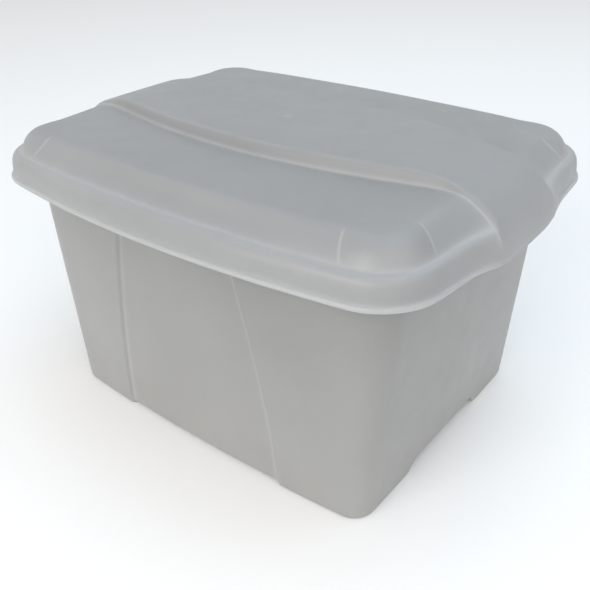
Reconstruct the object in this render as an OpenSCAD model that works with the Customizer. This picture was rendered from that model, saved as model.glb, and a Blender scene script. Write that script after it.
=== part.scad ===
// Stackable storage bin: a drafted tub on four corner feet, closed by a lift-off moulded lid.
// X runs along the long side, Y across, Z up. The origin is the centre of the plane the feet stand on.

/* [Lid outline] */
// Half length of the lip, measured at the corners
lip_half_l = 256.5; // [200:0.5:320]
// Half width of the lip, measured at the corners
lip_half_w = 194.2; // [150:0.2:250]
// Plan radius of the lip's corners
lip_corner = 61.3; // [50:0.1:80]
// How far the long sides bow outwards at their middle
lip_bow_l = 14.8; // [0:0.1:25]
// How far the short sides bow outwards at their middle
lip_bow_s = 7; // [0:0.1:15]
// Height of the lip's lower edge at the corners
lip_z = 260; // [200:1:320]
// Extra outward swell of the lip at each end grip
grip_out = 4.3; // [0:0.1:8]
// How far the lip dips at each end grip
grip_drop = 6.5; // [0:0.1:10]

/* [Lid top] */
// Height of the ridge that runs round the lid
ridge_z = 286.7; // [282:0.1:295]
// Height at the foot of the shelf's outer slope, just inside the ridge
slope_z = 286.9; // [286:0.1:288]
// Height of the long shelves each side of the deck
shelf_z = 308; // [300:0.5:315]
// Height of the raised deck along the middle
deck_z = 320.5; // [312:0.5:330]
// Half width of the deck's foot at the middle of the lid
deck_foot_mid = 82.3; // [60:0.1:100]
// Half width of the deck's foot near the ends
deck_foot_end = 53.5; // [50:0.1:60]
// Width of the sloping riser in the middle
riser_mid = 6; // [2:0.1:15]
// Width of the sloping riser near the ends
riser_end = 4.6; // [2:0.1:8]
// Distance from the centre where the deck starts to roll down
roll_start = 168; // [120:1:200]
// Large radius of the roll
roll_big = 190; // [120:1:260]
// Smaller radius that finishes the roll at the grip
roll_small = 58; // [30:1:80]
// How fully the shelf's corners fill out into round pads
pad_fill = 1; // [0:0.05:1]
// Radius of the crease round each corner pad
pad_r = 38; // [30:0.5:44]

/* [Bin] */
// Half length of the base, measured at the corners
base_half_l = 205.5; // [150:0.5:250]
// Half width of the base, measured at the corners
base_half_w = 160.2; // [120:0.1:200]
// Plan radius of the base's corners
base_corner = 24; // [12:0.5:40]
// Half length of the bin at the lip's height
top_half_l = 225.8; // [180:0.1:260]
// Half width of the bin at the lip's height
top_half_w = 171.2; // [130:0.1:210]
// Plan radius of the bin's corners at the lip's height
top_corner = 47.5; // [20:0.5:60]
// Outward bow of the bin's long sides
bin_bow_l = 7.6; // [0:0.1:15]
// Outward bow of the bin's short sides
bin_bow_s = 0.6; // [0:0.1:10]
// Height of the rim's top face
rim_z = 280.2; // [260:0.1:300]
// Gap between the lip's outline and the rim's outer face
rim_inset = 6.4; // [6:0.1:12]
// Wall thickness of the bin
bin_wall = 2.3; // [1.5:0.1:4]

/* [Panels and feet] */
// How deep the middle panel of each long side is set back
panel_depth = 3; // [0:0.1:6]
// Half width of the panel at the bottom
panel_foot = 104.5; // [80:0.5:130]
// How much narrower, each side, the panel is at the top
panel_narrow = 33.5; // [0:0.5:60]
// Width of the sloping edge of the panel
panel_edge = 6.5; // [3:0.1:12]
// Height of the panel's lower edge above the feet
panel_raise = 2; // [0:0.1:6]
// Height of the channel under the base that clears a deck below
channel_h = 13; // [8:0.5:20]
// Half width of the channel's roof at its ends
channel_roof_end = 60.5; // [40:0.5:80]
// Half width of the channel's mouth at its ends
channel_foot_end = 75; // [50:0.5:100]
// Half width of the channel's roof at the middle
channel_roof_mid = 88; // [70:0.5:110]
// Half width of the channel's mouth at the middle
channel_foot_mid = 98; // [80:0.5:120]

/* [Hidden] */
// Grid counts of a quarter of the lid: long side, half a corner, short side
lid_long = 7;
lid_turn = 4;
lid_m = lid_long + lid_turn;
// Places along the long side up to the corner, and along the short side down to the deck's foot
lid_front = [0, 38, 76, 110, 140, 165, 181];
lid_side = [118, 102, 88, 75, 64];
// Centre of a corner pad's crease, and how far in from it the pad reaches its full height
pad_x = 219;
pad_y = 155;
pad_soft = 26;
// Share of the pad's fullness that the shelf has all along its ends and corners,
// and where on the long side that share starts and is reached
end_fill = 0.5;
fill_from = 60;
fill_to = 165;
// Rows across the deck, as shares of its half width
deck_parts = [0.66, 0.33, 0];
// Rows across the riser, as shares of its width, and the share of its height that each has reached
riser_step = [0, 0.22, 0.78, 1];
riser_rise = [0, 0.1, 0.9, 1];
// How fast the deck's foot draws in on the way to the ends
foot_curve = 1.75;
// Where along the short side the shelf's end starts to swell out, and how far on the swell is full
swell_from = 118;
swell_run = 64;
// Half width over which an end grip is full, and the width over which it fades away
grip_flat = 35;
grip_fade = 60;
lid_n = lid_turn + len(lid_side) + len(riser_step) + len(deck_parts);
// Wall thickness of the lid
lid_wall = 2;
// Inset of the ring where the lid's shelf becomes a grid
shelf_inset = 45;
// Grid counts of a quarter of the bin: long side, half a corner
bin_long = 6;
bin_turn = 3;
// Places along the short side: shares of its straight part, then the channel's mouth,
// its roof's edge, half the roof and the middle
bin_side = [0.85, 0.68];
mouth_row = 3;
bin_m = bin_long + bin_turn;
bin_n = bin_turn + len(bin_side) + mouth_row + 1;
// Places along the long side that lie on the panel, as shares of its half width
panel_parts = [0, 0.4, 0.8, 1];
// Height over which the panel narrows, and how the narrowing grows with height
panel_high = 233;
panel_curve = 1.6;
// Height where the panel starts to run out into the wall, and the height it takes
panel_top = 262;
panel_fade = 12;
// Heights of the wall's rings between the feet and the panel's top
wall_levels = [50, 110, 170, 225];
lip_flat_l = lip_half_l - lip_corner;
lip_flat_w = lip_half_w - lip_corner;
// The ridge and the rim bow less than the lip, so they lie further in at the middle of a long side
ridge_shift = 4.4;
rim_shift = 2.8;
// Centre of the small roll, tangent to the large one and upright at its outer end,
// which stands a little past the lip
lip_end = lip_half_l + lip_bow_s;
roll_past = 6.2;
roll_out = lip_end + roll_past;
roll_sin = (roll_out - roll_start - roll_small) / (roll_big - roll_small);
roll_cos = sqrt(1 - roll_sin * roll_sin);
roll_x = roll_out - roll_small;
roll_z = deck_z - (roll_big - roll_small) * (1 - roll_cos) - roll_small;

// ---- small helpers ----
function mix(a, b, t) = a + (b - a) * t;
function clip(t) = min(1, max(0, t));
function ease(t) = clip(t) * clip(t) * (3 - 2 * clip(t));

// A point in the first quarter of a bowed rectangle with round corners.
// side 0 is the long side and u its x, side 1 the corner and u runs 0 to 1,
// side 2 the short side and u its y.
function outline(hl, hw, r, bl, bs, side, u, inset) =
    let (fl = hl - r, fw = hw - r, lean_l = 2 * bl / fl, lean_s = 2 * bs / fw)
    let (n = side == 0 ? [lean_l * u / fl, 1] : [1, lean_s * u / fw])
    let (turn = mix(atan2(1, lean_l), atan2(lean_s, 1), u))
    let (c = side == 0 ? [u, fw + bl * (1 - pow(u / fl, 2))]
        : side == 1 ? [fl, fw] : [fl + bs * (1 - pow(u / fw, 2)), u])
    let (d = side == 1 ? [cos(turn), sin(turn)] : n / norm(n))
    c + d * (r - inset);

// Closed skin through a list of rings, with a grid at its first and last ring.
// Each ring holds one quarter's points, mirrored into the other three.
function mirror_of(s, q) = let (k = floor(s / q)) [k == 0 || k == 3 ? 1 : -1, k < 2 ? 1 : -1];
function place_of(s, q) = let (k = floor(s / q), t = s - k * q) k % 2 == 0 ? q - t : t;
function whole_ring(quarter, q) = [for (s = [0:4 * q - 1])
    let (p = quarter[place_of(s, q)], f = mirror_of(s, q)) [p[0] * f[0], p[1] * f[1], p[2]]];
function slot(i, j, m, n) =
    let (q = m + n, a = abs(j) == n ? abs(i) : q - abs(j))
    (i >= 0 && j >= 0 ? q - a : i < 0 && j >= 0 ? q + a : i < 0 ? 3 * q - a : 3 * q + a) % (4 * q);
function grid_id(i, j, m, n, first, base) = abs(i) == m || abs(j) == n
    ? first + slot(i, j, m, n) : base + (i + m - 1) * (2 * n - 1) + j + n - 1;
function whole_grid(quarter, m, n) = [for (i = [1 - m:m - 1]) for (j = [1 - n:n - 1])
    let (p = quarter[abs(i)][abs(j)]) [i < 0 ? -p[0] : p[0], j < 0 ? -p[1] : p[1], p[2]]];
function grid_faces(m, n, first, base, up) = [for (i = [-m:m - 1]) for (j = [-n:n - 1])
    let (a = grid_id(i, j, m, n, first, base), b = grid_id(i + 1, j, m, n, first, base))
    let (c = grid_id(i + 1, j + 1, m, n, first, base), d = grid_id(i, j + 1, m, n, first, base))
    each (i < 0) == (j < 0)
        ? (up ? [[a, d, c], [a, c, b]] : [[a, c, d], [a, b, c]])
        : (up ? [[a, d, b], [d, c, b]] : [[a, b, d], [d, b, c]])];
function ring_faces(count, size, up) = [for (k = [0:count - 2]) for (s = [0:size - 1])
    let (a = k * size + s, b = k * size + (s + 1) % size)
    let (c = b + size, d = a + size)
    each floor(4 * s / size) % 2 == 0
        ? (up ? [[a, b, d], [b, c, d]] : [[a, d, b], [b, d, c]])
        : (up ? [[a, b, c], [a, c, d]] : [[a, c, b], [a, d, c]])];

module skin(rings, grid_a, grid_b, m, n, up) {
    q = m + n;
    size = 4 * q;
    count = len(rings);
    inside = (2 * m - 1) * (2 * n - 1);
    points = concat([for (r = rings) each whole_ring(r, q)], whole_grid(grid_a, m, n),
        whole_grid(grid_b, m, n));
    faces = concat(ring_faces(count, size, up), grid_faces(m, n, 0, count * size, up),
        grid_faces(m, n, (count - 1) * size, count * size + inside, !up));
    polyhedron(points = points, faces = faces, convexity = 8);
}

// ---- lid ----
// Stations of a quarter of the lid: [side, place along it]
riser_rows = [for (t = riser_step) deck_foot_end - riser_end * t];
side_rows = concat(lid_side, riser_rows, [for (f = deck_parts) (deck_foot_end - riser_end) * f]);
foot_row = lid_n - lid_turn - len(lid_side) - 1;
top_row = foot_row - len(riser_step) + 1;
lid_stations = concat([for (x = lid_front) [0, x]], [[0, lip_flat_l]],
    [for (i = [1:2 * lid_turn]) [1, i / (2 * lid_turn)]], [for (y = side_rows) [2, y]]);

// How much a station belongs to the deck's end roll: all of it on the deck, none of it below the riser
function roll_share(q) =
    let (l = lid_m + lid_n - q)
    l > foot_row ? 0 : l < top_row ? 1 : riser_rise[foot_row - l];
// How far the shelf's end has swelled out, from its corner to the riser
function swell_share(q) = lid_stations[q][0] == 2
    ? pow(clip((swell_from - lid_stations[q][1]) / swell_run), 3) : 0;
// How much a point belongs to a corner pad, from its crease inwards
function fill_share(q) = lid_stations[q][0] > 0 ? end_fill
    : end_fill * ease((lid_stations[q][1] - fill_from) / (fill_to - fill_from));
function pad_share(p, q) =
    let (reach = clip((pad_r - norm([p[0] - pad_x, p[1] - pad_y])) / pad_soft))
    pad_fill * mix(fill_share(q), 1, sin(90 * reach));
function grip_share(q) = lid_stations[q][0] == 2
    ? 1 - ease((lid_stations[q][1] - grip_flat) / grip_fade) : 0;
function long_share(q) = lid_stations[q][0] == 0 ? 1 - pow(lid_stations[q][1] / lip_flat_l, 2) : 0;

// Height of the deck's end roll at a distance from the centre
function roll_height(x, wall) = x < roll_start ? deck_z - wall
    : x < roll_start + (roll_big - wall) * roll_sin
        ? deck_z - roll_big + sqrt(pow(roll_big - wall, 2) - pow(x - roll_start, 2))
        : roll_z + sqrt(max(0, pow(roll_small - wall, 2) - pow(x - roll_x, 2)));
function roll_inset(turn, wall) = lip_end - roll_x - (roll_small - wall) * cos(turn);
function roll_level(turn, wall) = roll_z + (roll_small - wall) * sin(turn);

// Outer section of the lid, from the shelf out to the lip's lower edge. Each entry is
// [inset, height, share of the ridge's shift, share of the grip, inset and height at a corner pad,
// inset and height where the shelf's end swells out beside the riser, inset and height at the end roll].
function at_roll(inset, wall) = [inset, roll_height(lip_end - inset, wall)];
function on_roll(turn, wall, share) = [roll_inset(turn, wall) + grip_out * share,
    roll_level(turn, wall) + grip_drop * share];
function section(inset, height, shift, grip, pad, swell, roll) =
    concat([inset, height, shift, grip], pad, swell, roll);
function skirt(inset, height, shift, grip, roll) =
    section(inset, height, shift, grip, [inset, height], roll, roll);
lid_outer = [
    section(shelf_inset, shelf_z, 0, 0, [shelf_inset, shelf_z], [shelf_inset, shelf_z],
        at_roll(shelf_inset, 0)),
    section(41.4, shelf_z - 0.9, 0, 0, [36.5, shelf_z - 0.5], [36, shelf_z - 0.2], at_roll(36.5, 0)),
    section(38.2, shelf_z - 3.3, 0, 0, [29.4, shelf_z - 2.2], [29, shelf_z - 1.6], at_roll(30, 0)),
    section(30.4, shelf_z - 11.2, 0.3, 0, [23.6, shelf_z - 5.8], [22.5, shelf_z - 4.4], on_roll(60.8, 0, 0)),
    section(23.4, slope_z + 3.9, 0.8, 0, [19.8, shelf_z - 10.4], [16.5, shelf_z - 8.2], on_roll(53.5, 0, 0)),
    section(20.4, slope_z + 1.2, 0.9, 0, [18, slope_z + 5.2], [11.5, shelf_z - 12.3], on_roll(47, 0, 0)),
    section(17.4, slope_z + 0.1, 1, 0, [16.6, slope_z + 0.6], [8, shelf_z - 16.6], on_roll(41.7, 0, 0)),
    section(14.6, slope_z, 1, 0, [14.6, slope_z], [5.6, shelf_z - 19.8], on_roll(37.5, 0, 0)),
    section(12.6, ridge_z + 0.1, 1, 0, [12.6, ridge_z + 0.1], [4.2, ridge_z - 0.8], on_roll(34.1, 0, 0)),
    section(10.2, ridge_z, 1, 0, [10.2, ridge_z], [2.4, ridge_z - 1.5], on_roll(31, 0, 0.1)),
    skirt(6.7, ridge_z - 1.8, 0.8, 0.2, on_roll(24, 0, 0.2)),
    skirt(4.3, ridge_z - 6.2, 0.4, 0.4, on_roll(17, 0, 0.4)),
    skirt(3.1, lip_z + 13, 0.1, 0.7, on_roll(10, 0, 0.7)),
    skirt(3.4, lip_z + 6.2, 0, 1, on_roll(4.5, 0, 1)),
    skirt(1.1, lip_z + 5, 0, 1, [0.4, lip_z + 4.6]),
    skirt(0, lip_z + 3.7, 0, 1, [0, lip_z + 3.2]),
    skirt(0, lip_z + 1.2, 0, 1, [0, lip_z + 1.2]),
    skirt(0.8, lip_z, 0, 1, [0.8, lip_z])
];
// Inner section, from the lip's lower edge back in under the shelf
lid_inner = [
    skirt(4.7, lip_z, 0, 1, [3, lip_z]),
    skirt(5.1, lip_z + 6.6, 0, 1, on_roll(4.5, lid_wall, 1)),
    skirt(5.1, lip_z + 12.6, 0.1, 0.7, on_roll(11, lid_wall, 0.7)),
    skirt(6.2, ridge_z - 7, 0.4, 0.4, on_roll(18, lid_wall, 0.4)),
    section(10.2, ridge_z - 2.1, 1, 0, [10.2, ridge_z - 2.1], [4.8, ridge_z - 3.4],
        on_roll(32, lid_wall, 0)),
    section(14.4, slope_z - 1.9, 1, 0, [14.4, slope_z - 1.9], [6.4, ridge_z - 2.1],
        on_roll(36, lid_wall, 0)),
    section(18.2, slope_z - 1.8, 1, 0, [18.6, slope_z - 1], [7.8, ridge_z + 0.4],
        on_roll(39.5, lid_wall, 0)),
    section(25, slope_z + 2.6, 0.8, 0, [21.8, shelf_z - 11.8], [12.9, shelf_z - 13.8],
        on_roll(46.5, lid_wall, 0)),
    section(31.8, shelf_z - 12.6, 0.3, 0, [25.2, shelf_z - 7.4], [20.3, shelf_z - 7.9],
        on_roll(56, lid_wall, 0)),
    section(39.8, shelf_z - 4.6, 0, 0, [30.4, shelf_z - 4.2], [29.4, shelf_z - 3.6],
        at_roll(29.4, lid_wall)),
    section(45.6, shelf_z - lid_wall, 0, 0, [45.6, shelf_z - lid_wall], [45.6, shelf_z - lid_wall],
        at_roll(45.6, lid_wall))
];

function lid_edge(q, inset) = let (s = lid_stations[q])
    outline(lip_half_l, lip_half_w, lip_corner, lip_bow_l, lip_bow_s, s[0], s[1], inset);
function lid_point(row, q, wall) =
    let (bowed = row[0] + ridge_shift * row[2] * long_share(q), grip = grip_share(q) * row[3])
    let (pad = pad_share(lid_edge(q, bowed), q), swell = swell_share(q), roll = roll_share(q))
    let (inset = mix(mix(mix(bowed, row[4], pad), row[6], swell), row[8], roll) - grip_out * grip)
    let (p = lid_edge(q, inset))
    [p[0], p[1], mix(mix(mix(row[1], row[5], pad), row[7], swell), row[9], roll) - grip_drop * grip];
function lid_ring(row, wall) = [for (q = [0:lid_m + lid_n]) lid_point(row, q, wall)];

// Grid inside the shelf ring: rows follow the deck's foot and edge
function lid_grid(edge, wall) = [for (k = [0:lid_m]) [for (l = [0:lid_n])
    let (front = edge[k], end = edge[lid_m + lid_n - l], corner = edge[lid_m])
    let (x_end = edge[lid_m + lid_n - foot_row][0])
    let (x = end[0] * mix(front[0] / corner[0], k / lid_m, ease((lid_n - l) / (lid_n - foot_row))))
    let (bend = pow(x / x_end, foot_curve))
    let (foot = mix(deck_foot_mid, deck_foot_end, bend))
    let (top = foot - mix(riser_mid, riser_end, bend))
    let (t = (end[1] - corner[1]) / (deck_foot_end - corner[1]))
    let (y = l >= foot_row ? mix(front[1], foot, t)
        : l >= top_row ? mix(foot, top, riser_step[foot_row - l])
        : top * end[1] / (deck_foot_end - riser_end))
    let (share = l > foot_row ? 0 : l < top_row ? 1 : riser_rise[foot_row - l])
    let (reach = x + lip_bow_s * pow(y / lip_flat_w, 2))
    [x, y, mix(shelf_z - wall, roll_height(reach, wall), share)]]];

module lid() {
    outer = [for (row = lid_outer) lid_ring(row, 0)];
    inner = [for (row = lid_inner) lid_ring(row, lid_wall)];
    color([0.86, 0.88, 0.9, 0.85])
        skin(concat(outer, inner), lid_grid(outer[0], 0), lid_grid(inner[len(inner) - 1], lid_wall),
            lid_m, lid_n, true);
}

// ---- bin ----
function panel_half(z) = panel_foot - panel_narrow * pow(max(0, z) / panel_high, panel_curve);
// Stations of a quarter of the bin at a height: [side, place]
function bin_station(q, z, fl, fw) =
    let (p = panel_half(z))
    let (along = concat([for (t = panel_parts) t * p], [p + panel_edge, (p + panel_edge + fl) / 2, fl]))
    let (across = concat([for (t = bin_side) t * fw],
        [channel_foot_end, channel_roof_end, 0.5 * channel_roof_end, 0]))
    q <= bin_long ? [0, along[q]]
        : q <= bin_long + 2 * bin_turn ? [1, (q - bin_long) / (2 * bin_turn)]
        : [2, across[q - bin_long - 2 * bin_turn - 1]];
// Height of the underside at a station: feet at 0, panel a little up, channel above that
function bin_foot(q) =
    let (l = bin_m + bin_n - q)
    q < len(panel_parts) ? panel_raise : l < mouth_row ? channel_h : 0;
function set_back(q, z) = q < len(panel_parts)
    ? panel_depth * (1 - ease((z - panel_top) / panel_fade)) : 0;
function bin_point(q, z, inset) =
    let (t = z / lip_z)
    let (hl = mix(base_half_l, top_half_l, t), hw = mix(base_half_w, top_half_w, t))
    let (r = mix(base_corner, top_corner, min(t, 1)))
    let (s = bin_station(q, z, hl - r, hw - r))
    let (p = outline(hl, hw, r, bin_bow_l, bin_bow_s, s[0], s[1], inset + set_back(q, z)))
    [p[0], p[1], z];
function wall_ring(z, inset) = [for (q = [0:bin_m + bin_n]) bin_point(q, z, inset)];
// Rings near the base follow the underside's steps
function foot_ring(rise, inset) = [for (q = [0:bin_m + bin_n]) bin_point(q, bin_foot(q) + rise, inset)];
// Rings of the rim follow the lip's outline
function rim_ring(z, inset) = [for (q = [0:bin_m + bin_n])
    let (s = bin_station(q, z, lip_flat_l, lip_flat_w))
    let (shift = s[0] == 0 ? rim_shift * (1 - pow(s[1] / lip_flat_l, 2)) : 0)
    let (p = outline(lip_half_l, lip_half_w, lip_corner, lip_bow_l, lip_bow_s, s[0], s[1], inset + shift))
    [p[0], p[1], z]];

// Underside and floor: rows follow the channel's mouth and roof
function bin_grid(edge, wall) = [for (k = [0:bin_m]) [for (l = [0:bin_n])
    let (front = edge[k], end = edge[bin_m + bin_n - l], corner = edge[bin_m])
    let (x = end[0] * front[0] / corner[0])
    let (bend = pow(x / end[0], 2))
    let (mouth_end = edge[bin_m + bin_n - mouth_row][1])
    let (mouth = mix(channel_foot_mid, mouth_end, bend))
    let (roof = mix(channel_roof_mid, edge[bin_m + bin_n - mouth_row + 1][1], bend))
    let (t = (end[1] - corner[1]) / (mouth_end - corner[1]))
    let (y = l >= mouth_row ? mix(front[1], mouth, t) : roof * l / (mouth_row - 1))
    [x, y, wall + (l < mouth_row ? channel_h : k < len(panel_parts) ? panel_raise : 0)]]];

module bin() {
    outer = [for (z = wall_levels) wall_ring(z, 0)];
    inner = [for (k = [len(wall_levels) - 1:-1:0]) wall_ring(wall_levels[k], bin_wall)];
    foot = [foot_ring(0, 5.4), foot_ring(0.8, 2.2), foot_ring(2.4, 0.6), foot_ring(6, 0)];
    rim = [
        wall_ring(panel_top, 0), wall_ring(panel_top + 10, -0.7),
        wall_ring(rim_z - 3.6, -3.6), wall_ring(rim_z - 2.4, -8),
        rim_ring(rim_z - 2.4, rim_inset + 2.4), rim_ring(rim_z - 17, rim_inset + 2.1),
        rim_ring(rim_z - 17.4, rim_inset + 0.3), rim_ring(rim_z - 2.6, rim_inset),
        rim_ring(rim_z - 0.6, rim_inset + 1.1), rim_ring(rim_z, rim_inset + 3),
        wall_ring(rim_z, -4.5), wall_ring(rim_z - 1.4, -0.4), wall_ring(rim_z - 5.4, bin_wall)
    ];
    floor_edge = [
        foot_ring(bin_wall + 9.7, bin_wall), foot_ring(bin_wall + 2.8, bin_wall + 1.4),
        foot_ring(bin_wall + 0.5, bin_wall + 4.6), foot_ring(bin_wall, 11)
    ];
    rings = concat(foot, outer, rim, inner, floor_edge);
    color([0.8, 0.82, 0.82, 0.8])
        skin(rings, bin_grid(rings[0], 0), bin_grid(rings[len(rings) - 1], bin_wall), bin_m, bin_n, false);
}

bin();
lid();
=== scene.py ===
"""Looks of the stackable storage bin: a milky polypropylene tub and its lift-off lid.

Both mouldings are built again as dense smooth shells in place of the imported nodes.
Profiles are in millimetres and are written to the meshes in metres.
A quarter of each moulding is worked out and mirrored into the other three. Its outline is followed by
stations: side 0 is the long side, side 1 the corner and side 2 the short side. A place is a distance
from the middle of a straight side, or a share of the corner's turn.
"""
import math

import bmesh
import bpy
import numpy as np
from mathutils import Matrix, Vector


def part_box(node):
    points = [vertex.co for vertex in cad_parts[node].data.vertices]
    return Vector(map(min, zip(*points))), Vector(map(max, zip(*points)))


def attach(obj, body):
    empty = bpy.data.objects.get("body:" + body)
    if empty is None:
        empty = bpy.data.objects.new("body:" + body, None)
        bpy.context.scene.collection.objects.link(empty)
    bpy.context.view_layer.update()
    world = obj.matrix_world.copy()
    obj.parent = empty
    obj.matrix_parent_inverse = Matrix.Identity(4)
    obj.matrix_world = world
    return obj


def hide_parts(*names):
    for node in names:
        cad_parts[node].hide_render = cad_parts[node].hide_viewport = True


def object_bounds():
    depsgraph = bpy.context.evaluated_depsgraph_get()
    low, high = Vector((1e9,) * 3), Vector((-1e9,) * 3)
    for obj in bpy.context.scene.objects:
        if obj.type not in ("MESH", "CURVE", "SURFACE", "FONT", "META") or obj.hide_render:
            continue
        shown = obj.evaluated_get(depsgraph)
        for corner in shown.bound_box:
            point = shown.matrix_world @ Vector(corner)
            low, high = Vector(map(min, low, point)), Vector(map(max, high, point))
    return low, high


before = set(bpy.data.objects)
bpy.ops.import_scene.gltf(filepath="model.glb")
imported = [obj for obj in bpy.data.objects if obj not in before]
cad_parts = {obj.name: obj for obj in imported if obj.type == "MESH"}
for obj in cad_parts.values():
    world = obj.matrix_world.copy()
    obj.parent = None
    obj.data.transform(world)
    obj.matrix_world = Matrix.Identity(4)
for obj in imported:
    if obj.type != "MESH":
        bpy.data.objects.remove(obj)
CAD_BOX = [list(corner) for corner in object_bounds()]
MM = 0.001

# ---- camera, at the photograph's viewing angle ----
AZIMUTH, ELEVATION, ROLL = math.radians(38.672), math.radians(30.923), math.radians(-1.225)
CAMERA_PLACE = (0.47090, -0.58309, 0.55620)
SENSOR, LENS = 36, 45.75

# ---- sizes shared with the CAD model ----
LID_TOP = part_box("lid")[1][2] / MM
LIP = dict(half_l=256.5, half_w=194.2, corner=61.3, bow_l=14.8, bow_s=7.0)
LIP_FLAT_L, LIP_FLAT_W = LIP["half_l"] - LIP["corner"], LIP["half_w"] - LIP["corner"]
LIP_END = LIP["half_l"] + LIP["bow_s"]
LIP_Z, RIDGE_Z, SLOPE_Z, SHELF_Z = 260.0, 286.7, 286.9, 308.0
LID_WALL, BIN_WALL = 2.0, 2.3
UNDER_Z = SHELF_Z - LID_WALL
# How much further in the ridge and the rim lie at the middle of a long side, because they bow less
RIDGE_SHIFT, RIM_SHIFT = 4.4, 2.8
# The end grip: its outward swell and dip, the half width where it is full, and where it fades away
GRIP_OUT, GRIP_DROP, GRIP_FLAT, GRIP_FADE = 4.3, 6.5, 35.0, 60.0
# Where along the short side the shelf's end starts to swell out, and how far on the swell is full
SWELL_FROM, SWELL_RUN = 118.0, 64.0
# Half width of the deck's foot and width of the riser, at the middle and near the ends
FOOT_MID, FOOT_END, RISER_MID, RISER_END = 82.3, 53.5, 6.0, 4.6
FOOT_CURVE = 1.9
# The riser's rows start before its foot and end past its edge, in riser widths
RISER_BEFORE, RISER_PAST = 0.45, 1.45
# Its rise starts just before the foot and takes so many riser widths, as a sine to a power
RISE_EARLY, RISE_SPAN, RISE_POWER = 0.12, 1.5, 1.15
# The painted highlight line at the riser's foot and the painted soft light beside it: how far each reaches,
# and the soft light's share
FOOT_LINE, FOOT_SOFT_LIGHT, SOFT_LIGHT_SHARE = 0.9, 2.2, 0.75
# Round corner pads: centre, radius of the crease, and how far in from it a pad has its full height
PAD_X, PAD_Y, PAD_R, PAD_SOFT = 219.0, 155.0, 38.0, 26.0
# Share of a pad's fullness all along the shelf's ends, and where on the long side it starts and is reached
END_FILL, FILL_FROM, FILL_TO = 0.5, 60.0, 165.0
# Shallow dish round the moulding gate in the middle of the deck, and the pale spot in it
DISH_DEEP, DISH_R, DISH_FADE = 0.35, 16.0, 12.0
GATE_GLOW, GATE_R = 0.6, 4.5
# The deck's end roll: a large arc, then a small one that stands upright a little past the lip
ROLL_START, ROLL_BIG, ROLL_SMALL, ROLL_PAST = 168.0, 190.0, 58.0, 6.2
ROLL_X = LIP_END + ROLL_PAST - ROLL_SMALL
ROLL_SIN = (ROLL_X - ROLL_START) / (ROLL_BIG - ROLL_SMALL)
ROLL_Z = LID_TOP - (ROLL_BIG - ROLL_SMALL) * (1 - math.sqrt(1 - ROLL_SIN ** 2)) - ROLL_SMALL
BASE = dict(half_l=205.5, half_w=160.2, corner=24.0)
TOP = dict(half_l=225.8, half_w=171.2, corner=47.5)
BIN_BOW_L, BIN_BOW_S = 7.6, 0.6
RIM_Z, RIM_INSET = 280.2, 6.4
# The set-back panel of a long side: it narrows upwards and runs out into the wall below the rim
PANEL_DEPTH, PANEL_FOOT, PANEL_NARROW, PANEL_EDGE, PANEL_RAISE = 3.0, 104.5, 33.5, 6.5, 2.0
PANEL_HIGH, PANEL_CURVE, PANEL_TOP, PANEL_FADE = 233.0, 1.6, 258.0, 12.0
# The channel under the base: its height, and the half widths of its roof and mouth
CHANNEL_H, ROOF_END, MOUTH_END, ROOF_MID, MOUTH_MID = 13.0, 60.5, 75.0, 88.0, 98.0
# Counted marks of the tub's stations: the panel's side edge, the channel's mouth and its roof's edge
PANEL_MARK, MOUTH_MARK, ROOF_MARK = 3, 2, 3
# How bright the painted highlight along the panel's edge is, and the place and width of that line, in marks
PANEL_HIGHLIGHT, PANEL_LINE, PANEL_LINE_WIDTH = 0.7, 3.15, 0.2


# ---- small numeric helpers ----
def mix(a, b, t):
    return a + (b - a) * t


def ease(t):
    t = np.clip(t, 0, 1)
    return t * t * (3 - 2 * t)


def flatten(t):
    """A share that slows down over its last tenth, so a curve driven by it meets a straight line softly."""
    late = np.maximum(0, t - 0.9)
    return (t - 5 * late ** 2) / 0.95


def outline(side, u, inset, half_l, half_w, corner, bow_l, bow_s):
    """Points in the first quarter of a bowed rectangle with round corners, offset inwards by inset."""
    side, u, inset = np.broadcast_arrays(np.asarray(side), np.asarray(u, float), np.asarray(inset, float))
    flat_l, flat_w = half_l - corner, half_w - corner
    lean_l, lean_s = 2 * bow_l / flat_l, 2 * bow_s / flat_w
    angle = mix(np.arctan2(1, lean_l), np.arctan2(lean_s, 1), u)
    nx = np.where(side == 0, lean_l * u / flat_l, np.where(side == 1, np.cos(angle), 1))
    ny = np.where(side == 0, 1, np.where(side == 1, np.sin(angle), lean_s * u / flat_w))
    size = np.hypot(nx, ny)
    cx = np.where(side == 0, u, np.where(side == 1, flat_l, flat_l + bow_s * (1 - (u / flat_w) ** 2)))
    cy = np.where(side == 0, flat_w + bow_l * (1 - (u / flat_l) ** 2), np.where(side == 1, flat_w, u))
    return cx + nx / size * (corner - inset), cy + ny / size * (corner - inset)


def spline_rows(control, steps):
    """Cubic B-spline down the first axis of control, clamped at both ends. steps is the count per span."""
    points = np.concatenate([control[:1], control[:1], control, control[-1:], control[-1:]])
    rows = []
    spans = len(points) - 3
    for k in range(spans):
        count = steps[min(max(k - 1, 0), len(steps) - 1)]
        closing = k == spans - 1
        for t in np.arange(count + closing) / count:
            weights = ((1 - t) ** 3 / 6, (3 * t ** 3 - 6 * t ** 2 + 4) / 6,
                       (-3 * t ** 3 + 3 * t ** 2 + 3 * t + 1) / 6, t ** 3 / 6)
            rows.append(sum(weights[i] * points[k + i] for i in range(4)))
    return np.array(rows)


def stations(front, corner, end):
    """Side and place of each station of a quarter, from the places on its three sides."""
    side = np.concatenate([np.zeros(len(front)), np.ones(len(corner)), np.full(len(end), 2)]).astype(int)
    return side, np.concatenate([front, corner, end])
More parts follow.
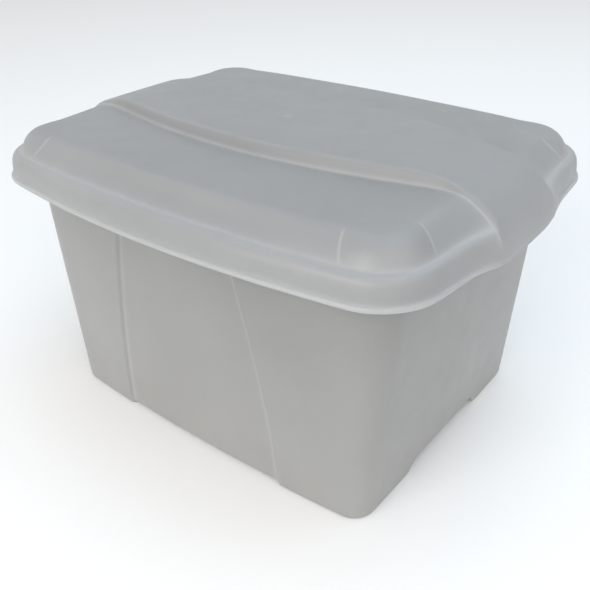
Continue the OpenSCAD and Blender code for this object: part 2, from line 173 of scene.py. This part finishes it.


# ---- closed shells; a point is x, y, z and how pale it shows there: painted highlight, or the gate's pale spot ----
def whole_ring(quarter):
    """A quarter ring (x axis station last) mirrored into a closed ring."""
    q = quarter[::-1]
    flip_x, flip_y = np.array([-1, 1, 1, 1]), np.array([1, -1, 1, 1])
    return np.concatenate([q[:-1], quarter[:-1] * flip_x, q[:-1] * flip_x * flip_y, quarter[:-1] * flip_y])


def whole_grid(quarter, m, n):
    """The inner points of a quarter grid mirrored into the whole grid."""
    whole = np.empty((2 * m - 1, 2 * n - 1, 4))
    for i in range(1 - m, m):
        flip = np.array([-1 if i < 0 else 1, 1, 1, 1])
        line = quarter[abs(i)]
        whole[i + m - 1, n - 1:] = line[:n] * flip
        whole[i + m - 1, :n - 1] = line[n - 1:0:-1] * flip * np.array([1, -1, 1, 1])
    return whole.reshape(-1, 4)


def ring_index(i, j, m, n):
    """Place in a closed ring of the grid's outer point in column i and line j."""
    q = m + n
    turn = abs(i) if abs(j) == n else q - abs(j)
    if i >= 0:
        return (q - turn if j >= 0 else 3 * q + turn) % (4 * q)
    return q + turn if j >= 0 else 3 * q - turn


def grid_faces(m, n, first, base):
    """Faces of a grid whose outer points are the ring that starts at first, and its others start at base."""
    def index(i, j):
        if abs(i) == m or abs(j) == n:
            return first + ring_index(i, j, m, n)
        return base + (i + m - 1) * (2 * n - 1) + j + n - 1

    return [(index(i, j), index(i + 1, j), index(i + 1, j + 1), index(i, j + 1))
            for i in range(-m, m) for j in range(-n, n)]


def ring_faces(count, size):
    faces = []
    for k in range(count - 1):
        for s in range(size):
            a, b = k * size + s, k * size + (s + 1) % size
            faces.append((a, b, b + size, a + size))
    return faces


def shell(name, rings, first_grid, last_grid, m, n):
    """A closed mesh from quarter rings and two quarter grids, which close its first and last ring."""
    size = 4 * (m + n)
    inside = (2 * m - 1) * (2 * n - 1)
    base = len(rings) * size
    points = np.concatenate([whole_ring(ring) for ring in rings]
                            + [whole_grid(first_grid, m, n), whole_grid(last_grid, m, n)])
    faces = (ring_faces(len(rings), size) + grid_faces(m, n, 0, base)
             + grid_faces(m, n, base - size, base + inside))
    mesh = bpy.data.meshes.new(name)
    mesh.from_pydata((points[:, :3] * MM).tolist(), [], faces)
    work = bmesh.new()
    work.from_mesh(mesh)
    bmesh.ops.recalc_face_normals(work, faces=work.faces)
    work.to_mesh(mesh)
    work.free()
    mesh.polygons.foreach_set("use_smooth", [True] * len(mesh.polygons))
    # The "edge" attribute holds painted highlights along creases, the lip's bead and the panel edges, and the
    # lid's pale gate spot
    mesh.attributes.new("edge", "FLOAT", "POINT").data.foreach_set("value", np.clip(points[:, 3], 0, 1))
    piece = bpy.data.objects.new(name, mesh)
    bpy.context.scene.collection.objects.link(piece)
    return piece


# ---- lid ----
def roll_height(x, wall):
    """Height of the deck and its end roll at a distance from the middle of the lid."""
    x = np.asarray(x, float)
    big = LID_TOP - ROLL_BIG + np.sqrt(np.maximum(0, (ROLL_BIG - wall) ** 2 - (x - ROLL_START) ** 2))
    small = ROLL_Z + np.sqrt(np.maximum(0, (ROLL_SMALL - wall) ** 2 - (x - ROLL_X) ** 2))
    join = ROLL_START + (ROLL_BIG - wall) * ROLL_SIN
    return np.where(x < ROLL_START, LID_TOP - wall, np.where(x < join, big, small))


def at_roll(inset, wall):
    """The end roll's place at an inset: the inset itself and the height."""
    return [inset, float(roll_height(LIP_END - inset, wall))]


def on_roll(angle, wall, share):
    """The end roll's place at an angle of its small arc, with a share of the grip made up for."""
    a = math.radians(angle)
    return [LIP_END - ROLL_X - (ROLL_SMALL - wall) * math.cos(a) + GRIP_OUT * share,
            ROLL_Z + (ROLL_SMALL - wall) * math.sin(a) + GRIP_DROP * share]


def row(inset, z, shift, grip, pad, swell, roll, glow=0.0):
    """One control ring of the lid: its plain place, then on a pad, beside the riser and on the end roll.

    A place is an inset from the lip's outline and a height. shift and grip are shares of the ridge's shift
    and of the end grip, and glow is how bright the painted highlight along that ring is.
    """
    return [inset, z, shift, grip] + pad + swell + roll + [glow]


def skirt(inset, z, shift, grip, roll, glow=0.0):
    """A control ring of the skirt, which has no pads and is the same beside the riser as on the roll."""
    return row(inset, z, shift, grip, [inset, z], roll, roll, glow)


# Slope and ridge, from the shelf outwards
SLOPE_ROWS = [
    row(50, SHELF_Z, 0, 0, [50, SHELF_Z], [50, SHELF_Z], at_roll(50, 0)),
    row(45.5, SHELF_Z, 0, 0, [42.5, SHELF_Z], [42, SHELF_Z], at_roll(42.5, 0)),
    row(41, SHELF_Z - 0.2, 0, 0, [36, SHELF_Z - 0.2], [36.5, SHELF_Z - 0.5], at_roll(36, 0)),
    row(37.4, SHELF_Z - 2.4, 0, 0, [29.2, SHELF_Z - 2], [30.5, SHELF_Z - 2.4], at_roll(30, 0)),
    row(30, SHELF_Z - 10.7, 0.3, 0, [23.4, SHELF_Z - 5.8], [24, SHELF_Z - 6.2], on_roll(60.8, 0, 0)),
    row(23, SLOPE_Z + 5.6, 0.8, 0, [19.4, SHELF_Z - 10.8], [18, SHELF_Z - 10], on_roll(53.5, 0, 0)),
    row(17.4, SLOPE_Z + 2, 0.9, 0, [16.6, SLOPE_Z + 4.6], [13, SHELF_Z - 14], on_roll(47, 0, 0), 0.1),
    row(15.2, SLOPE_Z + 0.4, 1, 0, [14.8, SLOPE_Z + 1.2], [9.2, SHELF_Z - 17.8], on_roll(41.7, 0, 0), 0.6),
    row(13.8, SLOPE_Z, 1, 0, [13.6, SLOPE_Z + 0.2], [6.4, SHELF_Z - 20.6], on_roll(37.5, 0, 0), 1.2),
    row(11.6, RIDGE_Z + 0.2, 1, 0, [11.6, RIDGE_Z + 0.2], [4.2, RIDGE_Z - 0.8], on_roll(34.1, 0, 0), 0.8),
    row(9.4, RIDGE_Z, 1, 0, [9.4, RIDGE_Z], [2.4, RIDGE_Z - 1.3], on_roll(31, 0, 0.1), 0.4),
    skirt(6.5, RIDGE_Z - 1.4, 0.8, 0.2, on_roll(24, 0, 0.2), 0.15),
]
# Outer face of the skirt down round the lip's bead, and up its inner face
SKIRT_ROWS = [
    skirt(4.1, RIDGE_Z - 6.2, 0.4, 0.4, on_roll(17, 0, 0.4)),
    skirt(3.1, LIP_Z + 13, 0.1, 0.7, on_roll(10, 0, 0.7)),
    skirt(3.1, LIP_Z + 8, 0, 1, on_roll(5.5, 0, 1)),
    skirt(2.9, LIP_Z + 5.2, 0, 1, on_roll(3.2, 0, 1), 0.5),
    skirt(0.9, LIP_Z + 4.8, 0, 1, [0.5, LIP_Z + 4.4], 0.9),
    skirt(0, LIP_Z + 3.2, 0, 1, [0, LIP_Z + 3], 0.25),
    skirt(0, LIP_Z + 1.1, 0, 1, [0, LIP_Z + 1.1], 0.9),
    skirt(0.8, LIP_Z, 0, 1, [0.8, LIP_Z], 0.4),
    skirt(3.4, LIP_Z, 0, 1, [2.4, LIP_Z]),
    skirt(5.1, LIP_Z + 1.2, 0, 1, [3.2, LIP_Z + 1.2]),
    skirt(5.2, LIP_Z + 6.6, 0, 1, on_roll(4.5, LID_WALL, 1)),
    skirt(5.1, LIP_Z + 12.6, 0.1, 0.7, on_roll(11, LID_WALL, 0.7)),
    skirt(6.0, RIDGE_Z - 7, 0.4, 0.4, on_roll(18, LID_WALL, 0.4)),
    skirt(7.6, RIDGE_Z - 3.4, 0.8, 0.2, on_roll(25, LID_WALL, 0.2)),
]
# Inner face of the ridge and slope, back in under the shelf
INNER_ROWS = [
    row(10.4, RIDGE_Z - 1.8, 1, 0, [10.4, RIDGE_Z - 1.8], [4.8, RIDGE_Z - 3.3], on_roll(32, LID_WALL, 0)),
    row(14.4, SLOPE_Z - 2, 1, 0, [14.4, SLOPE_Z - 2], [6.4, RIDGE_Z - 2.1], on_roll(36, LID_WALL, 0)),
    row(18.2, SLOPE_Z - 0.8, 1, 0, [18.2, SLOPE_Z + 0.4], [8.8, RIDGE_Z - 0.6], on_roll(39.5, LID_WALL, 0)),
    row(25, SLOPE_Z + 4, 0.8, 0, [21.4, SHELF_Z - 12.6], [14.4, SHELF_Z - 15.4],
        on_roll(46.5, LID_WALL, 0)),
    row(31.8, SHELF_Z - 12.2, 0.3, 0, [25.2, SHELF_Z - 7.6], [21.8, SHELF_Z - 9.6],
        on_roll(56, LID_WALL, 0)),
    row(39, SHELF_Z - 4.6, 0, 0, [30.4, SHELF_Z - 4.1], [30.6, SHELF_Z - 4.8], at_roll(29.4, LID_WALL)),
    row(42.4, SHELF_Z - 2.5, 0, 0, [37, SHELF_Z - 2.4], [37, SHELF_Z - 2.9], at_roll(36, LID_WALL)),
    row(46, UNDER_Z, 0, 0, [43, UNDER_Z], [43, UNDER_Z], at_roll(43, LID_WALL)),
    row(50, UNDER_Z, 0, 0, [50, UNDER_Z], [50, UNDER_Z], at_roll(50, LID_WALL)),
]
LID_ROWS = SLOPE_ROWS + SKIRT_ROWS + INNER_ROWS
# Mesh rows in each span between control rings, and stations round a corner
LID_STEPS = [2] * 3 + [4] * 7 + [3] * 6 + [2] * 5 + [1] * 4 + [2] * 12
LID_CORNER = 32


def lid_stations():
    """Stations of a quarter of the lid, closest together at the corner pads and across the riser."""
    front = np.concatenate([np.linspace(0, 160, 36, endpoint=False), np.linspace(160, LIP_FLAT_L, 20)])
    corner = np.linspace(0, 1, LID_CORNER + 1)[1:]
    riser = FOOT_END - RISER_END * np.linspace(-RISER_BEFORE, RISER_PAST, 13)
    end = np.concatenate([np.linspace(LIP_FLAT_W, 105, 14)[1:], np.linspace(105, 62, 18)[1:],
                          [60, 58.2, 56.8], riser, np.linspace(riser[-1], 0, 19)[1:]])
    return *stations(front, corner, end), len(front)


def riser_share(place):
    """How far up the riser a station lies: 0 and crisp at the shelf, 1 and rounded over at the deck."""
    t = np.clip(((FOOT_END - place) / RISER_END + RISE_EARLY) / RISE_SPAN, 0, 1)
    return np.sin(math.pi / 2 * t) ** RISE_POWER


def painted_foot_light(rise):
    """Painted light beside the riser's foot: a crisp highlight line that fades out over the shelf."""
    line = np.exp(-(rise / FOOT_LINE) ** 2)
    soft_light = np.exp(rise / FOOT_SOFT_LIGHT)
    return np.where(rise > 0, line, SOFT_LIGHT_SHARE * soft_light + (1 - SOFT_LIGHT_SHARE) * line)


def make_lid():
    side, place, front = lid_stations()
    m = front - 1 + LID_CORNER // 2
    n = len(side) - 1 - m
    table = np.array(LID_ROWS)[:, :, None]
    inset, z, shift, grip, pad_in, pad_z, swell_in, swell_z, roll_in, roll_z, glow = (
        table[:, i] for i in range(table.shape[1]))
    on_end = side == 2
    roll = np.where(on_end, riser_share(place), 0)
    swell = np.where(on_end, np.clip((SWELL_FROM - place) / SWELL_RUN, 0, 1) ** 3, 0)
    grips = np.where(on_end, 1 - ease((place - GRIP_FLAT) / GRIP_FADE), 0) * grip
    bowed = inset + RIDGE_SHIFT * shift * np.where(side == 0, 1 - (place / LIP_FLAT_L) ** 2, 0)
    x, y = outline(side, place, bowed, **LIP)
    reach = np.clip((PAD_R - np.hypot(x - PAD_X, y - PAD_Y)) / PAD_SOFT, 0, 1)
    filled = END_FILL * np.where(side > 0, 1, ease((place - FILL_FROM) / (FILL_TO - FILL_FROM)))
    pads = filled + (1 - filled) * np.sin(math.pi / 2 * reach)
    where = mix(mix(mix(bowed, pad_in, pads), swell_in, swell), roll_in, roll) - GRIP_OUT * grips
    height = mix(mix(mix(z, pad_z, pads), swell_z, swell), roll_z, roll) - GRIP_DROP * grips
    x, y = outline(side, place, where, **LIP)
    on_slope = (np.arange(len(LID_ROWS)) < len(SLOPE_ROWS))[:, None]
    # The fourth value is painted highlight along the slope's crease and the lip's bead, and painted light at
    # the riser's foot
    foot = np.where(on_end, painted_foot_light(FOOT_END - place), 0) * on_slope
    control = np.stack([x, y, height, np.maximum(glow * (1 - roll), foot)], axis=-1)
    rings = spline_rows(control, LID_STEPS)
    across = np.where(on_end, place, LIP_FLAT_W)
    top = lid_grid(rings[0], 0, m, n, across)
    under = lid_grid(rings[-1], LID_WALL, m, n, across)
    return shell("lid_moulding", rings, top, under, m, n)


def lid_grid(edge, wall, m, n, across):
    """Points inside a ring of the shelf: rows run along X and follow the deck's foot and edge."""
    total = len(edge) - 1
    corner = edge[m]
    end = edge[total - np.arange(n + 1)]
    place = across[total - np.arange(n + 1)]
    y_end = end[:, 1]
    foot_at = int(np.argmin(np.abs(place - FOOT_END)))
    x_end, scale = end[foot_at][0], y_end[foot_at] / place[foot_at]
    low, high = FOOT_END + RISER_BEFORE * RISER_END, FOOT_END - RISER_PAST * RISER_END
    share = riser_share(place)
    grid = np.empty((m + 1, n + 1, 4))
    for k in range(m + 1):
        x = end[:, 0] * edge[k][0] / corner[0]
        bend = flatten(x / x_end) ** FOOT_CURVE
        foot = mix(FOOT_MID, FOOT_END * scale, bend)
        width = mix(RISER_MID, RISER_END * scale, bend)
        inwards = (y_end - corner[1]) / (low * scale - corner[1])
        shelf = mix(edge[k][1], foot + RISER_BEFORE * width, inwards)
        slope = foot - width * (FOOT_END - place) / RISER_END
        deck = (foot - RISER_PAST * width) * place / high
        y = np.where(place > low, shelf, np.where(place > high, slope, deck))
        z = mix(SHELF_Z - wall, roll_height(x + LIP["bow_s"] * (y / LIP_FLAT_W) ** 2, wall), share)
        glow = 0 * x
        if wall == 0:
            away = np.hypot(x, y)
            z = z - DISH_DEEP * (1 - ease((away - DISH_R) / DISH_FADE))
            # Painted light at the riser's foot, and the gate's own pale spot
            glow = np.maximum(painted_foot_light(foot - y), GATE_GLOW * np.exp(-(away / GATE_R) ** 2))
        grid[k] = np.stack([x, y, z, glow], axis=-1)
    return grid


# ---- bin ----
# Mesh rows in each span between control rings, and stations round a corner
BIN_STEPS = [2] * 5 + [3] * 10 + [2] * 20 + [1] * 8 + [2] * 6
BIN_CORNER = 22
# Heights of the wall's control rings between the feet and the panel's top
WALL_LEVELS = [50, 80, 110, 140, 170, 200, 225]


def bin_stations():
    """Stations of a quarter of the tub. A place on a straight side is counted in marks, as bin_place says."""
    front = np.concatenate([np.linspace(0, 2.8, 15), np.linspace(2.9, 4.1, 15), np.linspace(4.2, 6, 13)])
    corner = np.linspace(0, 1, BIN_CORNER + 1)[1:]
    end = np.concatenate([np.linspace(0, 1.9, 9)[1:], np.linspace(2, 3.1, 13), np.linspace(3.2, 5, 12)])
    return *stations(front, corner, end), len(front)


def spread(place, marks):
    """The distance at a place counted in marks, where each mark is an array of distances."""
    result = 0
    for k in range(len(marks) - 1):
        result = result + (marks[k + 1] - marks[k]) * np.clip(place - k, 0, 1)
    return marks[0] + result


def bin_place(side, place, z, flat_l, flat_w):
    """Distances along the sides: marks for the panel and its edge, then for the channel's mouth and roof."""
    half = PANEL_FOOT - PANEL_NARROW * (np.maximum(0, z) / PANEL_HIGH) ** PANEL_CURVE
    edge = half + PANEL_EDGE
    along = spread(place, [0 * half, 0.4 * half, 0.8 * half, half, edge, (edge + flat_l) / 2, flat_l])
    zero = 0 * flat_w
    channel = [zero + MOUTH_END, zero + ROOF_END, zero + ROOF_END / 2, zero]
    across = spread(place, [flat_w, 0.8 * flat_w] + channel)
    return np.where(side == 0, along, np.where(side == 1, place, across))


def foot_height(side, place):
    """Height of the underside: 0 at the feet, a little under a panel, and full height in the channel.

    The channel's side rises from just before the mouth's mark to just past the roof's.
    """
    panel = PANEL_RAISE * (1 - ease(place - PANEL_MARK))
    channel = CHANNEL_H * ease((place - MOUTH_MARK) * 0.9 + 0.05)
    return np.where(side == 0, panel, np.where(side == 2, channel, 0))


def bin_ring(side, place, z, inset):
    """One ring of the tub's wall, at a height that may change along the ring."""
    z = z + 0 * place
    t = z / LIP_Z
    half_l, half_w = mix(BASE["half_l"], TOP["half_l"], t), mix(BASE["half_w"], TOP["half_w"], t)
    corner = mix(BASE["corner"], TOP["corner"], np.minimum(t, 1))
    u = bin_place(side, place, z, half_l - corner, half_w - corner)
    set_back = PANEL_DEPTH * (1 - ease(place - PANEL_MARK)) * (1 - ease((z - PANEL_TOP) / PANEL_FADE))
    x, y = outline(side, u, inset + np.where(side == 0, set_back, 0), half_l, half_w, corner,
                   BIN_BOW_L, BIN_BOW_S)
    # Painted highlight along the panel's side edge
    line = PANEL_HIGHLIGHT * np.exp(-((place - PANEL_LINE) / PANEL_LINE_WIDTH) ** 2)
    return np.stack([x, y, z, np.where(side == 0, line, 0)], axis=-1)


def rim_ring(side, place, z, inset):
    """One ring of the rim flange, which follows the lip's outline."""
    z = z + 0 * place
    u = bin_place(side, place, z, LIP_FLAT_L, LIP_FLAT_W)
    shift = np.where(side == 0, RIM_SHIFT * (1 - (u / LIP_FLAT_L) ** 2), 0)
    x, y = outline(side, u, inset + shift, **LIP)
    return np.stack([x, y, z, 0 * place], axis=-1)


def make_bin():
    side, place, front = bin_stations()
    m = front - 1 + BIN_CORNER // 2
    n = len(side) - 1 - m

    def wall(z, inset):
        return bin_ring(side, place, z, inset)

    def foot(rise, inset):
        return bin_ring(side, place, rise + foot_height(side, place), inset)

    def rim(z, inset):
        return rim_ring(side, place, z, RIM_INSET + inset)

    outer = [foot(0, 9), foot(0, 5), foot(0.3, 2.2), foot(2, 0.4), foot(5, 0), foot(14, 0)]
    outer += [wall(z, 0) for z in WALL_LEVELS]
    outer += [wall(245, 0), wall(262, 0), wall(272, -0.7), wall(RIM_Z - 3.6, -2.6), wall(RIM_Z - 2.6, -6)]
    flange = [rim(RIM_Z - 2.4, 6), rim(RIM_Z - 2.8, 2.4), rim(RIM_Z - 5, 2.1), rim(RIM_Z - 12, 2.1),
              rim(RIM_Z - 16.6, 2.1), rim(RIM_Z - 17.4, 1.2), rim(RIM_Z - 16.6, 0.2), rim(RIM_Z - 12, 0),
              rim(RIM_Z - 3, 0), rim(RIM_Z - 0.6, 0.7), rim(RIM_Z, 3), rim(RIM_Z, 6)]
    inner = [wall(RIM_Z, -4.5), wall(RIM_Z - 0.8, -0.6), wall(RIM_Z - 3, 1.6), wall(RIM_Z - 8, BIN_WALL)]
    inner += [wall(z, BIN_WALL) for z in reversed(WALL_LEVELS)]
    inner += [foot(BIN_WALL + rise, BIN_WALL + inset) for rise, inset in (
        (14, 0), (7, 0), (2.6, 0.9), (0.5, 3.6), (0, 8), (0, 12.7))]
    rings = spline_rows(np.array(outer + flange + inner), BIN_STEPS)
    under = bin_grid(rings[0], 0, m, n, side, place)
    inside = bin_grid(rings[-1], BIN_WALL, m, n, side, place)
    return shell("bin_moulding", rings, under, inside, m, n)


def bin_grid(edge, wall, m, n, side, place):
    """Underside or floor inside a ring: rows run along X and follow the channel's mouth and roof."""
    at = len(edge) - 1 - np.arange(n + 1)
    end, where = edge[at], place[at]
    corner = edge[m]
    grid = np.empty((m + 1, n + 1, 4))
    for k in range(m + 1):
        x = end[:, 0] * edge[k][0] / corner[0]
        bend = (x / end[0][0]) ** 2
        mouth, roof = mix(MOUTH_MID, MOUTH_END, bend), mix(ROOF_MID, ROOF_END, bend)
        feet = mix(edge[k][1], mouth, (end[:, 1] - corner[1]) / (MOUTH_END - corner[1]))
        slope = mix(mouth, roof, np.clip(where - MOUTH_MARK, 0, 1))
        under_roof = np.where(where < ROOF_MARK, slope, roof * end[:, 1] / ROOF_END)
        y = np.where(end[:, 1] >= MOUTH_END, feet, under_roof)
        z = wall + np.maximum(foot_height(side[at], where), foot_height(side[k], place[k]))
        grid[k] = np.stack([x, y, z, 0 * x], axis=-1)
    return grid


# ---- materials ----
# Colour noise, haze in the gloss and fine grain: scale per metre, then detail and roughness of the noise
CLOUDS, HAZE, GRAIN = (9, 5, 0.55), (38, 6, 0.5), (420, 3, 0.5)
NOISE_LOW, NOISE_HIGH = 0.3, 0.7
GLOSS_DOWN, GLOSS_UP = 0.05, 0.06
GRAIN_STRENGTH, GRAIN_DEPTH = 0.12, 0.0006
# Refraction of the plastic, and how much and how far light spreads in it
REFRACTION, SCATTER_SHARE, SCATTER_DEPTH = 1.49, 0.7, 0.008
# Height at which the painted light and shade by height has its upper value
PAINTED_LIGHT_TOP_Z = 0.27
# The painted highlight round a corner pad's crease: half widths where it is full and gone, and how bright it
# is
ARC_FULL, ARC_GONE, ARC_HIGHLIGHT = 0.0002, 0.0022, 0.6
# On the flat shelf that line is faint; it has its full strength a little way down the slope
ARC_SHELF_Z, ARC_SLOPE_Z, ARC_FAINT = 0.3079, 0.3055, 0.15
ARC_LOWEST = (RIDGE_Z + 1.6) * MM


class Shader:
    """The nodes of one material, and short ways to add and join them."""

    def __init__(self, name):
        self.material = bpy.data.materials.new(name)
        self.material.use_nodes = True
        self.tree = self.material.node_tree
        self.surface = self.tree.nodes["Principled BSDF"]
        self.coords = self.add("ShaderNodeTexCoord", {}).outputs["Object"]

    def add(self, kind, inputs, **settings):
        """A node of a kind, whose inputs are constants or other nodes' outputs."""
        node = self.tree.nodes.new(kind)
        for name, value in settings.items():
            setattr(node, name, value)
        for key, value in inputs.items():
            self.feed(node, key, value)
        return node

    def feed(self, node, key, value):
        if isinstance(value, bpy.types.NodeSocket):
            self.tree.links.new(value, node.inputs[key])
        else:
            node.inputs[key].default_value = value

    def maths(self, operation, *values):
        return self.add("ShaderNodeMath", dict(enumerate(values)), operation=operation).outputs[0]

    def noise(self, scale, detail, roughness):
        inputs = {"Vector": self.coords, "Scale": scale, "Detail": detail, "Roughness": roughness}
        return self.add("ShaderNodeTexNoise", inputs).outputs["Fac"]

    def remap(self, value, from_min, from_max, to_min, to_max, curve="LINEAR"):
        inputs = {"Value": value, "From Min": from_min, "From Max": from_max,
                  "To Min": to_min, "To Max": to_max}
        return self.add("ShaderNodeMapRange", inputs, interpolation_type=curve).outputs["Result"]

    def place(self):
        """The X, Y and Z of a point of the object, in metres."""
        return self.add("ShaderNodeSeparateXYZ", {0: self.coords}).outputs


def painted_arc_highlights(shader, marks):
    """The marks of the "edge" attribute joined with a painted highlight along the round crease of each corner
    pad.
    """
    x, y, z = shader.place()
    across = shader.maths("SUBTRACT", shader.maths("ABSOLUTE", x), PAD_X * MM)
    along = shader.maths("SUBTRACT", shader.maths("ABSOLUTE", y), PAD_Y * MM)
    squares = [shader.maths("MULTIPLY", part, part) for part in (across, along)]
    away = shader.maths("SQRT", shader.maths("ADD", *squares))
    off = shader.maths("ABSOLUTE", shader.maths("SUBTRACT", away, PAD_R * MM))
    # Painted highlight: a thin pale ring along each pad's crease
    line = shader.remap(off, ARC_GONE, ARC_FULL, 0, ARC_HIGHLIGHT, "SMOOTHSTEP")
    slope = shader.remap(z, ARC_SHELF_Z, ARC_SLOPE_Z, ARC_FAINT, 1, "SMOOTHSTEP")
    above = shader.maths("GREATER_THAN", z, ARC_LOWEST)
    arc = shader.maths("MULTIPLY", shader.maths("MULTIPLY", line, slope), above)
    return shader.maths("MAXIMUM", arc, marks)


def plastic(name, low, high, highlight_and_gate_lift, roughness, transmission, arc_highlights, painted_light_by_height):
    """Milky polypropylene: clouded colour, painted highlights, uneven satin gloss and fine mould texture.

    Colour runs from low to high with the clouds. The marks, painted highlights and the lid's pale gate spot,
    are high times the lift. The last argument is painted light and shade by height: how much lighter or
    darker the colour is made at the foot and at the lip.
    """
    shader = Shader(name)
    surface = shader.surface
    surface.inputs["IOR"].default_value = REFRACTION
    surface.inputs["Transmission Weight"].default_value = transmission
    surface.inputs["Subsurface Weight"].default_value = SCATTER_SHARE
    surface.inputs["Subsurface Radius"].default_value = (1.0, 1.0, 1.0)
    surface.inputs["Subsurface Scale"].default_value = SCATTER_DEPTH

    ramp = shader.add("ShaderNodeValToRGB", {"Fac": shader.noise(*CLOUDS)})
    for stop, position, colour in zip(ramp.color_ramp.elements, (NOISE_LOW, NOISE_HIGH), (low, high)):
        stop.position = position
        stop.color = (*colour, 1)
    # Marks of the "edge" attribute: painted highlights, and on the lid the gate's pale spot
    marks = shader.add("ShaderNodeAttribute", {}, attribute_name="edge").outputs["Fac"]
    if arc_highlights:
        marks = painted_arc_highlights(shader, marks)
    highlight_and_gate_white = (*(c * highlight_and_gate_lift for c in high), 1)
    # Inputs 6 and 7 and output 2 of a Mix node are the ones for colours
    mixed = {"Factor": marks, 6: ramp.outputs["Color"], 7: highlight_and_gate_white}
    highlight_and_gate_mix = shader.add("ShaderNodeMix", mixed, data_type="RGBA")
    # Painted light and shade by height: the colour is scaled by one value at the foot and another at the lip
    painted_height_light = shader.remap(shader.place()["Z"], 0, PAINTED_LIGHT_TOP_Z, *painted_light_by_height)
    shade = shader.add("ShaderNodeVectorMath", {0: highlight_and_gate_mix.outputs[2], "Scale": painted_height_light}, operation="SCALE")
    shader.feed(surface, "Base Color", shade.outputs[0])

    gloss = shader.remap(shader.noise(*HAZE), NOISE_LOW, NOISE_HIGH, roughness - GLOSS_DOWN,
                         roughness + GLOSS_UP)
    shader.feed(surface, "Roughness", gloss)
    bump = shader.add("ShaderNodeBump", {
        "Height": shader.noise(*GRAIN), "Strength": GRAIN_STRENGTH, "Distance": GRAIN_DEPTH})
    shader.feed(surface, "Normal", bump.outputs["Normal"])
    return shader.material


def lid_plastic():
    # The lift brightens the painted highlights and the gate's pale spot
    return plastic("lid_milky_plastic", low=(0.382, 0.387, 0.392), high=(0.41, 0.415, 0.42), highlight_and_gate_lift=1.36,
                   roughness=0.42, transmission=0.35, arc_highlights=True, painted_light_by_height=(1, 1))


def bin_plastic():
    # Painted highlights brightened by the lift; painted light and shade: lighter at the foot, darker at the
    # lip
    return plastic("bin_milky_plastic", low=(0.365, 0.365, 0.358), high=(0.395, 0.395, 0.388), highlight_and_gate_lift=1.35,
                   roughness=0.38, transmission=0.4, arc_highlights=False, painted_light_by_height=(1.25, 0.94))


def floor_paint():
    paint = bpy.data.materials.new("pale_floor")
    paint.use_nodes = True
    surface = paint.node_tree.nodes["Principled BSDF"]
    surface.inputs["Base Color"].default_value = (0.86, 0.86, 0.86, 1)
    surface.inputs["Roughness"].default_value = 0.9
    return paint


# ---- camera, floor, world and lights ----
WARM, BLUE = (1.0, 0.985, 0.965), (0.50, 0.76, 1.0)
WORLD_STRENGTH = 0.76
FLOOR_HALF, FLOOR_GAP = 9, 0.0004
LIGHTS_AIM = (0, 0, 0.2)
# Name, place, size, power in watts and colour
LIGHTS = [
    ("key", (0.1, -2.6, 1.3), (2.4, 1.6), 50, WARM),
    ("fill", (2.4, -0.8, 1.5), (2.2, 1.8), 20, WARM),
    ("sky", (0.3, 0.9, 2.6), (2.8, 2.4), 26, BLUE),
]


def make_camera():
    data = bpy.data.cameras.new("camera")
    data.sensor_width = SENSOR
    data.lens = LENS
    camera = bpy.data.objects.new("camera", data)
    bpy.context.scene.collection.objects.link(camera)
    forward = Vector((-math.sin(AZIMUTH) * math.cos(ELEVATION), math.cos(AZIMUTH) * math.cos(ELEVATION),
                      -math.sin(ELEVATION)))
    level = Vector((math.cos(AZIMUTH), math.sin(AZIMUTH), 0))
    upright = level.cross(forward)
    right = math.cos(ROLL) * level + math.sin(ROLL) * upright
    up = math.cos(ROLL) * upright - math.sin(ROLL) * level
    turn = Matrix((right, up, -forward)).transposed().to_4x4()
    camera.matrix_world = Matrix.Translation(CAMERA_PLACE) @ turn
    bpy.context.scene.camera = camera


def make_floor():
    mesh = bpy.data.meshes.new("floor")
    a = FLOOR_HALF
    mesh.from_pydata([(-a, -a, 0), (a, -a, 0), (a, a, 0), (-a, a, 0)], [], [(0, 1, 2, 3)])
    mesh.materials.append(floor_paint())
    floor = bpy.data.objects.new("floor", mesh)
    floor.location = (0, 0, CAD_BOX[0][2] - FLOOR_GAP)
    bpy.context.scene.collection.objects.link(floor)
    return floor


def make_world():
    world = bpy.data.worlds.new("studio")
    world.use_nodes = True
    background = world.node_tree.nodes["Background"]
    background.inputs["Color"].default_value = (*WARM, 1)
    background.inputs["Strength"].default_value = WORLD_STRENGTH
    bpy.context.scene.world = world


def area_light(name, place, size, power, colour):
    data = bpy.data.lights.new(name, "AREA")
    data.shape = "RECTANGLE"
    data.size, data.size_y = size
    data.energy = power
    data.color = colour
    lamp = bpy.data.objects.new(name, data)
    lamp.location = place
    lamp.rotation_mode = "QUATERNION"
    lamp.rotation_quaternion = (Vector(LIGHTS_AIM) - Vector(place)).to_track_quat("-Z", "Y")
    bpy.context.scene.collection.objects.link(lamp)


# ---- the scene ----
for piece, node, body, slot, material in (
        (make_lid(), "lid", "lid", "lid_plastic", lid_plastic()),
        (make_bin(), "bin", "bin", "bin_plastic", bin_plastic())):
    piece.data.materials.append(material)
    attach(piece, body)
    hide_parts(node)

floor = make_floor()
make_world()
for light in LIGHTS:
    area_light(*light)
make_camera()
bpy.context.scene.view_settings.view_transform = "Standard"
